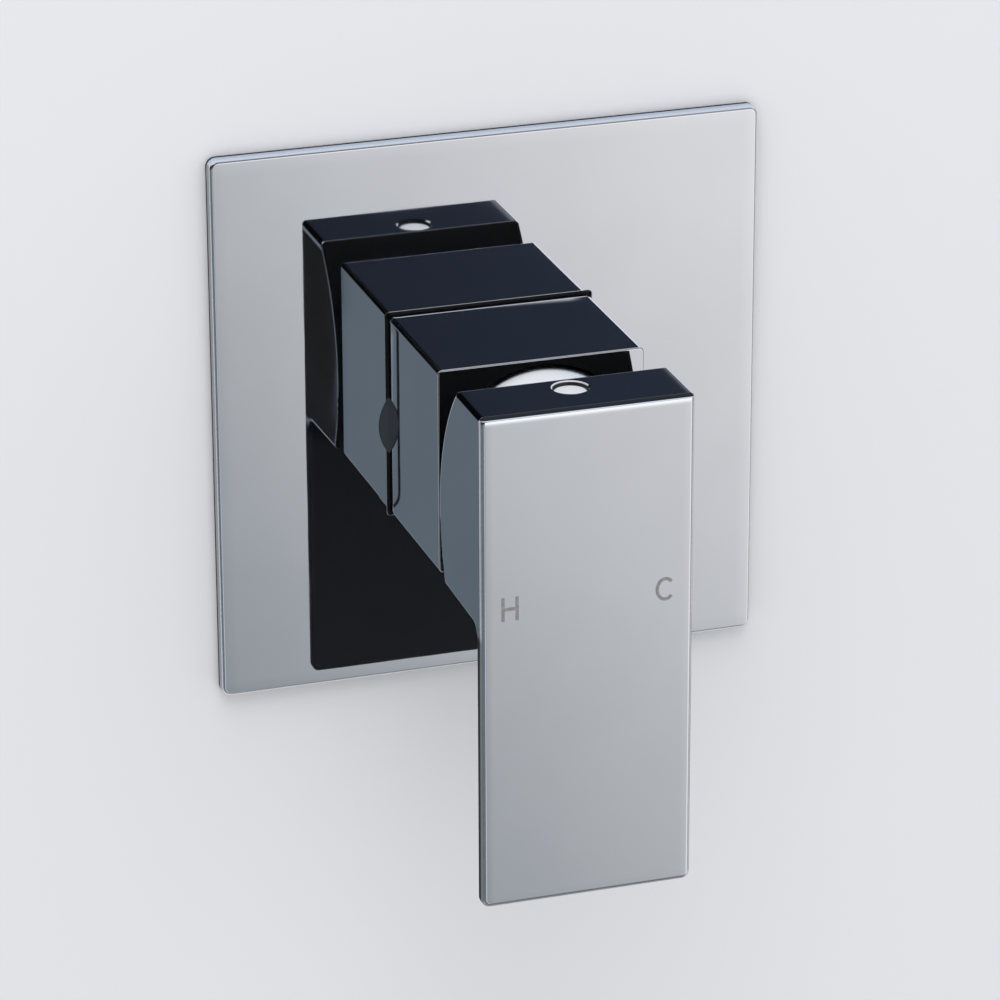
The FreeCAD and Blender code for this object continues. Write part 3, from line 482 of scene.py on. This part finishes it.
def dome_material(finish):
    """Satin plating with fine turning lines about the tap's axis."""
    material, paint = new_material("satin_chrome")
    x, _, z = paint.split(paint.place())
    radius = (x * x + z * z) ** 0.5
    lines = paint.noise(1.0, 3.0, 0.6, paint.wire("ShaderNodeCombineXYZ", None, {0: radius * 9000.0}))
    paint.finish({
        "Base Color": paint.mix(lines, shade(finish.satin, 0.94), finish.satin), "Metallic": 1.0,
        "Roughness": 0.24 + 0.08 * lines, "Normal": paint.bump(lines, 0.000004),
    })
    return material


def plug_material(finish):
    """A pale moulded plug with a satin face."""
    material, paint = new_material("plug_plastic")
    grain = paint.noise(2600.0, 3.0)
    paint.finish({
        "Base Color": paint.mix(grain, finish.plug, shade(finish.plug, 0.94)),
        "Roughness": 0.3 + 0.1 * grain,
        "Normal": paint.bump(grain, 0.00001, 0.4),
    })
    return material


def turned_brass_material(finish):
    """Machined brass: fine turning rings about the tap's axis, tarnish in patches."""
    material, paint = new_material("turned_brass")
    x, _, z = paint.split(paint.place())
    radius = (x * x + z * z) ** 0.5
    rings = (radius * 14000.0).sine() * 0.5 + 0.5
    tarnish = paint.ramp(paint.noise(90.0, 5.0), 0.42, 0.72)
    paint.finish({
        "Base Color": paint.mix(tarnish, finish.brass, shade(finish.brass, 0.72)), "Metallic": 1.0,
        "Roughness": 0.24 + 0.14 * tarnish + 0.05 * rings,
        "Normal": paint.bump(rings, 0.00003, 0.4),
    })
    return material


def pipe_thread(paint, along, first, second, mouth):
    """The pipe thread's ridges on a connection's bore, sin(2 pi (along / pitch + turn)), and a mask of
    where they are."""
    radius = (first * first + second * second) ** 0.5
    turn = first.turn_from(second) / (2 * math.pi)
    ridges = ((along / THREAD_PITCH + turn) * (2 * math.pi)).sine()
    bore = paint.ramp(radius, THREAD_RADIUS + 0.00005, THREAD_RADIUS - 0.00005)
    inside = bore * paint.ramp(along, mouth - THREAD_LENGTH - 0.0003, mouth - THREAD_LENGTH + 0.0003)
    return ridges * inside, inside


def cast_brass_material(finish):
    """Sand-cast brass with machined mouths, fixing faces and threads."""
    material, paint = new_material("cast_brass")
    x, y, z = paint.split(paint.place())
    axis = MOUNTS["hot_inlet"]["pos_m"][1]
    y = y - axis
    reach, depth = BODY_HIGH.x, BODY_HIGH.y - axis
    side, side_mask = pipe_thread(paint, abs(x), y, z, reach)
    upright, upright_mask = pipe_thread(paint, abs(z), x, y, reach)
    mouth = paint.ramp(abs(x).larger(abs(z)), reach - 0.0003, reach - 0.0001)
    back = paint.ramp(y, depth - 0.0002, depth)
    machined = mouth.larger(back).larger(side_mask).larger(upright_mask)
    sand = paint.noise(900.0, 5.0, 0.65)
    patches = paint.ramp(paint.noise(60.0, 5.0), 0.4, 0.75)
    skin = paint.mix(patches, shade(finish.brass, 0.86), shade(finish.brass, 0.60))
    height = (1 - machined) * sand + 1.6 * (side + upright)
    paint.finish({
        "Base Color": paint.mix(machined, skin, finish.brass), "Metallic": 1.0,
        "Roughness": 0.5 - 0.24 * machined + 0.12 * patches,
        "Normal": paint.bump(height, 0.00022, 0.6),
    })
    return material


def steel_material(finish):
    """Turned steel with fine lines along the piece."""
    material, paint = new_material("turned_steel")
    stretch = paint.wire("ShaderNodeMapping", None, {"Vector": paint.place(), "Scale": (0.2, 1.0, 1.0)})
    lines = paint.noise(6000.0, 2.0, 0.5, stretch)
    paint.finish({
        "Base Color": paint.mix(lines, shade(finish.steel, 0.85), finish.steel), "Metallic": 1.0,
        "Roughness": 0.26 + 0.14 * lines,
        "Normal": paint.bump(lines, 0.00001, 0.5),
    })
    return material


def rubber_material(finish):
    """Black moulded rubber, grey in patches; painted light makes the tab open at the plate's front lighter.
    """
    material, paint = new_material("seal_rubber")
    bloom = paint.ramp(paint.noise(240.0, 4.0), 0.45, 0.8)
    # Painted light: the tab at the plate's front is lighter than the rubber in the gap behind it.
    tab = paint.ramp(paint.split(paint.place())[1], PLATE_LOW.y + 0.0006, PLATE_LOW.y + 0.0003)
    tone = paint.mix(bloom, finish.rubber, shade(finish.rubber, 2.2))
    paint.finish({
        "Base Color": paint.mix(tab, tone, finish.bloom),
        "Roughness": 0.52 + 0.2 * bloom,
        "Normal": paint.bump(paint.noise(2400.0, 3.0), 0.00003, 0.5),
    })
    return material


def foam_material(finish):
    """Closed-cell foam: small cells with darker walls."""
    material, paint = new_material("gasket_foam")
    cells = paint.wire("ShaderNodeTexVoronoi", None, {"Vector": paint.place(), "Scale": 1100.0})
    paint.finish({
        "Base Color": paint.mix(
            paint.ramp(cells, 0.1, 0.6), shade(finish.foam, 1.5), shade(finish.foam, 0.7)),
        "Roughness": 0.92,
        "Normal": paint.bump(1 - cells, 0.00012, 0.7),
    })
    return material


def plastic_material(finish):
    """Moulded plastic with a fine satin grain and faint flow marks."""
    material, paint = new_material("cartridge_plastic")
    flow = paint.ramp(paint.noise(70.0, 4.0), 0.35, 0.75)
    grain = paint.noise(3200.0, 3.0)
    paint.finish({
        "Base Color": paint.mix(flow, finish.plastic, shade(finish.plastic, 0.92)),
        "Roughness": 0.42 + 0.12 * grain,
        "Normal": paint.bump(grain, 0.00002, 0.4),
    })
    return material


def ceramic_material(finish):
    """Lapped ceramic: very even, with a faint speckle."""
    material, paint = new_material("disc_ceramic")
    speckle = paint.ramp(paint.noise(1800.0, 2.0), 0.55, 0.7)
    paint.finish({
        "Base Color": paint.mix(speckle, finish.ceramic, shade(finish.ceramic, 0.9)),
        "Roughness": 0.16 + 0.1 * speckle,
    })
    return material


def mark_material(marks):
    """Matt paint in the letters, a little uneven."""
    material, paint = new_material("mark_paint")
    wear = paint.ramp(paint.noise(1500.0, 3.0), 0.35, 0.75)
    paint.finish({
        "Base Color": paint.mix(wear, marks.paint, shade(marks.paint, 1.35)),
        "Roughness": 0.5 + 0.15 * wear,
    })
    return material


# Marks


def new_piece(name, points, faces, material, body):
    """A mesh piece in the tap's frame that rides on a body."""
    mesh = bpy.data.meshes.new(name)
    mesh.from_pydata(points.tolist(), [], faces.tolist())
    mesh.update()
    mesh.materials.append(material)
    piece = bpy.data.objects.new(name, mesh)
    bpy.context.scene.collection.objects.link(piece)
    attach(piece, body)
    return piece


def stroke(path, width, back, proud):
    """A flat stroke: at each point of the path (x, z) a rectangle of the stroke's width, square to the
    path, from y = back to y = back - proud; the rectangles are joined and both ends are closed."""
    along = np.gradient(path, axis=0)
    along /= np.linalg.norm(along, axis=1, keepdims=True)
    across = np.stack([-along[:, 1], along[:, 0]], 1) * width / 2
    left, right = path + across, path - across
    count = len(path)
    corners = np.empty((count, 4, 3))
    front = back - proud
    for row, (edge, y) in enumerate(((left, back), (right, back), (right, front), (left, front))):
        corners[:, row, 0] = edge[:, 0]
        corners[:, row, 1] = y
        corners[:, row, 2] = edge[:, 1]
    ring = np.arange(count - 1)[:, None] * 4
    corner = np.arange(4)[None, :]
    after = (corner + 1) % 4
    sides = np.stack([ring + corner, ring + after, ring + 4 + after, ring + 4 + corner], -1).reshape(-1, 4)
    last = 4 * (count - 1)
    caps = np.array([[3, 2, 1, 0], [last, last + 1, last + 2, last + 3]])
    return corners.reshape(-1, 3), np.concatenate([sides, caps])


def joined(parts):
    """Several meshes' points and faces as one mesh."""
    offsets = np.cumsum([0] + [len(points) for points, _ in parts[:-1]])
    points = np.concatenate([points for points, _ in parts])
    faces = np.concatenate([faces + offset for (_, faces), offset in zip(parts, offsets)])
    return points, faces


def outward(piece):
    """Turn the piece's faces outwards."""
    bpy.context.view_layer.objects.active = piece
    piece.select_set(True)
    bpy.ops.object.mode_set(mode="EDIT")
    bpy.ops.mesh.select_all(action="SELECT")
    bpy.ops.mesh.normals_make_consistent(inside=False)
    bpy.ops.object.mode_set(mode="OBJECT")
    piece.select_set(False)


def line(start, end, count=5):
    """Points evenly spaced from start to end."""
    share = np.linspace(0, 1, count)[:, None]
    return np.array(start) * (1 - share) + np.array(end) * share


def hot_letter(marks):
    """An H: two upright strokes and a bar between their inner edges."""
    x, z, half = -marks.apart, -marks.drop, marks.height / 2
    side = (marks.hot_width - marks.stroke) / 2
    inner = side - marks.stroke / 2
    back = HANDLE_LOW.y
    paths = [
        line((x - side, z - half), (x - side, z + half)),
        line((x + side, z - half), (x + side, z + half)),
        line((x - inner, z), (x + inner, z)),
    ]
    return joined([stroke(path, marks.stroke, back, marks.proud) for path in paths])


def cold_letter(marks):
    """A C: part of an ellipse, x = a cos t and z = b sin t, open on the right."""
    turn = np.radians(np.linspace(42, 318, 49))
    across = (marks.cold_width - marks.stroke) / 2
    up = (marks.height - marks.stroke) / 2
    path = np.stack([marks.apart + across * np.cos(turn), -marks.drop + up * np.sin(turn)], 1)
    return stroke(path, marks.stroke, HANDLE_LOW.y, marks.proud)


# Stage


def stage_piece(name, points, faces, material):
    mesh = bpy.data.meshes.new(name)
    mesh.from_pydata(points.tolist(), [], faces.tolist())
    mesh.materials.append(material)
    piece = bpy.data.objects.new(name, mesh)
    bpy.context.scene.collection.objects.link(piece)
    return piece


def backdrop_material(stage):
    """Pale matt plaster with a hole behind the plate; from behind it is clear, so that the body shows."""
    material, paint = new_material("backdrop_plaster")
    patches = paint.ramp(paint.noise(3.0, 4.0), 0.3, 0.7)
    colour = paint.mix(patches, stage.wall, shade(stage.wall, 0.985))
    plaster = paint.wire("ShaderNodeBsdfPrincipled", None, {"Base Color": colour, "Roughness": 0.8})
    clear = paint.wire("ShaderNodeBsdfTransparent")
    behind = paint.wire("ShaderNodeNewGeometry", output="Backfacing")
    x, _, z = paint.split(paint.place())
    hole = paint.ramp(abs(x).larger(abs(z)), PLATE_HIGH.x - 0.0038, PLATE_HIGH.x - 0.0042)
    either = paint.wire("ShaderNodeMixShader", None, {0: behind.larger(hole), 1: plaster, 2: clear})
    paint.node("ShaderNodeOutputMaterial", None, {"Surface": either})
    return material


def screen_material():
    """The reflector's light by direction: a pale card low on the right, brightest near the horizon, that
    fades to grey on the left with a light strip in it; a dark band over the horizon that widens to the
    left; dark at the far right and below, pale at the top."""
    material, paint = new_material("reflector_light")
    direction = paint.wire("ShaderNodeVectorMath", {"operation": "NORMALIZE"}, {0: paint.place()})
    x, _, z = paint.split(direction)
    slant = x + 0.7 * z
    low = paint.mix(paint.ramp(slant, -0.26, 0.30), CARD_DIM, CARD_BRIGHT)
    strip = paint.ramp(slant, -0.46, -0.40) * paint.ramp(slant, -0.20, -0.27)
    low = paint.mix(strip, low, STRIP_TONE)
    low = paint.mix(paint.ramp(z, -0.24, -0.04) * paint.ramp(x, 0.05, 0.20), low, GLOW_TONE)
    low = paint.mix(paint.ramp(x, 0.62, 0.80), low, FAR_RIGHT_TONE)
    low = paint.mix(paint.ramp(z, -0.62, -0.78), low, UNDER_TONE)
    band = paint.ramp(z - (0.9 * x).larger(-0.15), 0.0, 0.06)
    middle = paint.mix(band, low, paint.mix(paint.ramp(x, 0.05, 0.36), BAND_BLACK, BAND_NAVY))
    top = paint.ramp(z + 0.9 * x.larger(0.15).smaller(0.29), 0.634, 0.674)
    colour = paint.mix(top, middle, TOP_TONE)
    light = paint.wire("ShaderNodeEmission", None, {"Color": colour, "Strength": 1.0})
    paint.node("ShaderNodeOutputMaterial", None, {"Surface": light})
    return material


def flag_material():
    """The matt black of a flag card."""
    material, paint = new_material("flag_black")
    nap = paint.noise(900.0, 2.0)
    colour = paint.mix(nap, (0.004, 0.004, 0.005), (0.007, 0.007, 0.008))
    paint.finish({"Base Color": colour, "Roughness": 0.95})
    return material


def dome_grid(radius, turns, tilts):
    """Part of a sphere: x = r cos t sin a, y = -r cos t cos a, z = r sin t, for turns a and tilts t."""
    a, t = np.meshgrid(turns, tilts)
    points = radius * np.stack([np.cos(t) * np.sin(a), -np.cos(t) * np.cos(a), np.sin(t)], -1)
    rows, columns = a.shape
    first = np.arange(rows - 1)[:, None] * columns + np.arange(columns - 1)[None, :]
    faces = np.stack([first, first + 1, first + columns + 1, first + columns], -1)
    return points.reshape(-1, 3), faces.reshape(-1, 4)


def sheet_grid(corner, along, up):
    """A flat sheet from a corner along two edges."""
    corner, along, up = (np.array(part, float) for part in (corner, along, up))
    return np.stack([corner, corner + along, corner + along + up, corner + up]), np.array([[0, 1, 2, 3]])


def add_softbox(stage):
    lamp = bpy.data.lights.new("softbox", "AREA")
    lamp.shape = "SQUARE"
    lamp.size = SOFTBOX_SIDE
    lamp.energy = stage.lamp_power
    holder = bpy.data.objects.new("softbox", lamp)
    holder.location = SOFTBOX_PLACE
    holder.rotation_euler = (-Vector(holder.location)).to_track_quat("-Z", "Y").to_euler()
    holder.visible_glossy = False
    bpy.context.scene.collection.objects.link(holder)


def add_camera(stage):
    """A camera at an azimuth and elevation round its aim, rolled about its axis."""
    turn, rise, roll = stage.azimuth, stage.elevation, stage.roll
    back = Vector((-math.sin(turn) * math.cos(rise), -math.cos(turn) * math.cos(rise), math.sin(rise)))
    right = Vector((0, 0, 1)).cross(back).normalized()
    up = back.cross(right)
    axes = Matrix((right, up, back)).transposed().to_4x4() @ Matrix.Rotation(roll, 4, "Z")
    lens = bpy.data.cameras.new("camera")
    lens.lens = stage.lens
    lens.sensor_width = 36.0
    lens.clip_start = 0.01
    camera = bpy.data.objects.new("camera", lens)
    camera.matrix_world = Matrix.Translation(Vector(stage.aim) + back * stage.distance) @ axes
    bpy.context.scene.collection.objects.link(camera)
    bpy.context.scene.camera = camera


def set_world(stage):
    world = bpy.data.worlds.new("room")
    world.use_nodes = True
    paint = Paint(world.node_tree)
    light = paint.wire("ShaderNodeBackground", None, {"Color": (*stage.sky, 1.0), "Strength": 1.0})
    paint.node("ShaderNodeOutputWorld", None, {"Surface": light})
    bpy.context.scene.world = world


# Operators


class TAP_OT_chrome(Operator):
    """Give the visible metal its chrome plating"""

    bl_idname = "tap.chrome"
    bl_label = "Chrome pieces"

    def execute(self, context):
        finish = context.scene.tap_finish
        dress(("wall_plate",), plate_material(finish))
        dress(("sleeve",), sleeve_material(finish))
        dress(("dome_cover",), dome_material(finish))
        dress(("handle",), handle_material(finish))
        dress(("hole_plug",), plug_material(finish))
        return {"FINISHED"}


class TAP_OT_brass(Operator):
    """Give the body in the wall its cast brass and the fittings their turned brass"""

    bl_idname = "tap.brass"
    bl_label = "Brass pieces"

    def execute(self, context):
        finish = context.scene.tap_finish
        dress(CAST_PIECES, cast_brass_material(finish))
        dress(BRASS_PIECES, turned_brass_material(finish))
        return {"FINISHED"}


class TAP_OT_cartridge(Operator):
    """Give the cartridge its plastic, ceramic and steel"""

    bl_idname = "tap.cartridge"
    bl_label = "Cartridge pieces"

    def execute(self, context):
        finish = context.scene.tap_finish
        dress(PLASTIC_PIECES, plastic_material(finish))
        dress(CERAMIC_PIECES, ceramic_material(finish))
        dress(STEEL_PIECES, steel_material(finish))
        return {"FINISHED"}


class TAP_OT_seals(Operator):
    """Give the seals their rubber and the gasket its foam"""

    bl_idname = "tap.seals"
    bl_label = "Seals"

    def execute(self, context):
        finish = context.scene.tap_finish
        dress(RUBBER_PIECES, rubber_material(finish))
        dress(("plate_gasket",), foam_material(finish))
        return {"FINISHED"}


class TAP_OT_marks(Operator):
    """Paint the hot and cold marks on the handle's front"""

    bl_idname = "tap.marks"
    bl_label = "Hot and cold marks"

    def execute(self, context):
        marks = context.scene.tap_marks
        material = mark_material(marks)
        for name, letter in (("hot_mark", hot_letter), ("cold_mark", cold_letter)):
            points, faces = letter(marks)
            outward(new_piece(name, points, faces, material, "lever"))
        return {"FINISHED"}


class TAP_OT_stage(Operator):
    """Set up the backdrop, floor, reflector, flag, softbox, room light and camera"""

    bl_idname = "tap.stage"
    bl_label = "Stage"

    def execute(self, context):
        stage = context.scene.tap_stage
        plaster = backdrop_material(stage)
        low = -stage.floor_drop
        left, across = -WALL_WIDTH / 2, (WALL_WIDTH, 0, 0)
        stage_piece("backdrop", *sheet_grid((left, WALL_GAP, low), across, (0, 0, WALL_HEIGHT)), plaster)
        stage_piece("floor", *sheet_grid((left, FLOOR_FRONT, low), across, (0, FLOOR_DEPTH, 0)), plaster)
        turns = np.radians(np.linspace(-100, 100, 41))
        tilts = np.radians(np.linspace(-88, 50, 29))
        screen = stage_piece("reflector", *dome_grid(stage.screen_radius, turns, tilts), screen_material())
        flag = stage_piece(
            "flag", *sheet_grid(FLAG_CORNER, (FLAG_WIDTH, 0, 0), (0, 0, FLAG_HEIGHT)), flag_material())
        for card in (screen, flag):
            card.visible_camera = False
            card.visible_diffuse = False
            card.visible_shadow = False
        add_softbox(stage)
        set_world(stage)
        add_camera(stage)
        context.scene.view_settings.view_transform = "Standard"
        return {"FINISHED"}


OPERATORS = (TAP_OT_chrome, TAP_OT_brass, TAP_OT_cartridge, TAP_OT_seals, TAP_OT_marks, TAP_OT_stage)


class TAP_PT_panel(Panel):
    """The tap's settings and steps"""

    bl_idname = "TAP_PT_panel"
    bl_label = "Wall mixer tap"
    bl_space_type = "VIEW_3D"
    bl_region_type = "UI"
    bl_category = "Mixer tap"

    def draw(self, context):
        for group in (context.scene.tap_finish, context.scene.tap_marks, context.scene.tap_stage):
            box = self.layout.box()
            for name in group.__annotations__:
                box.prop(group, name)
        for step in OPERATORS:
            self.layout.operator(step.bl_idname)


GROUPS = {"tap_finish": TapFinish, "tap_marks": TapMarks, "tap_stage": TapStage}
CLASSES = (*GROUPS.values(), *OPERATORS, TAP_PT_panel)


def register():
    for item in CLASSES:
        bpy.utils.register_class(item)
    for name, group in GROUPS.items():
        setattr(bpy.types.Scene, name, PointerProperty(type=group))


def unregister():
    for name in GROUPS:
        delattr(bpy.types.Scene, name)
    for item in reversed(CLASSES):
        bpy.utils.unregister_class(item)


def corners(box):
    return [list(map(float, corner)) for corner in box]


def main():
    register()
    bpy.ops.tap.chrome()
    bpy.ops.tap.brass()
    bpy.ops.tap.cartridge()
    bpy.ops.tap.seals()
    bpy.ops.tap.marks()
    bpy.ops.tap.stage()


if __name__ == "__main__":
    main()
